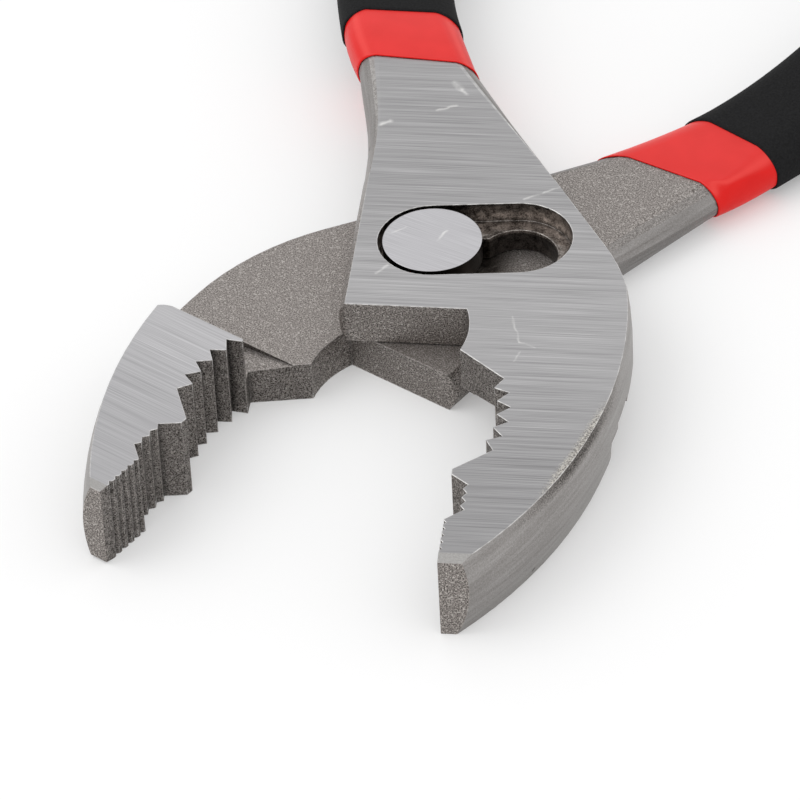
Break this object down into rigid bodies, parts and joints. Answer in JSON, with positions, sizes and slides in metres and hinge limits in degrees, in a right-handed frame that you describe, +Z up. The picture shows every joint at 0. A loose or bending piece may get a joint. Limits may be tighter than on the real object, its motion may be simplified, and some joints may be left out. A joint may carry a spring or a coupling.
{
  "type": "slip joint pliers",
  "caption": "Slip joint pliers: toothed curved jaws on a riveted pin that shifts along a keyhole slot, handles in dipped sleeves under thicker outer grips.",
  "frame": {"origin": "on the pivot pin's axis, in the plane that the pliers lie on", "axes": "+Z up along the pivot pin, out of the slotted half's ground face; the jaws point to -Y and the handles to +Y; +X towards the slotted half's jaw"},
  "size_m": [0.1168, 0.1906, 0.0103],
  "materials": {
    "slotted_half": "belt-ground face, shot-blasted forged sides",
    "pinned_half": "shot-blasted forging with ground faces",
    "pivot_pin": "ground head",
    "slotted_sleeve": "dipped, semi-gloss",
    "pinned_sleeve": "dipped, semi-gloss",
    "slotted_grip": "fine-grained, matt",
    "pinned_grip": "fine-grained, matt"
  },
  "bodies": {
    "pinned": {"pinned_half": "pinned_half", "pinned_sleeve": "pinned_sleeve", "pinned_grip": "pinned_grip"},
    "pin": {"pivot_pin": "pivot_pin"},
    "slotted": {"slotted_half": "slotted_half", "slotted_sleeve": "slotted_sleeve", "slotted_grip": "slotted_grip"}
  },
  "joints": [
    {"name": "jaw_pivot", "type": "hinge", "parent": "pinned", "child": "pin", "pos_m": [0, 0, 0], "axis": [0, 0, -1], "range_deg": [-14, 31]},
    {"name": "jaw_slip", "type": "slide", "parent": "pin", "child": "slotted", "axis": [-0.9304, -0.3665, 0], "range_m": [0, 0.009]}
  ]
}
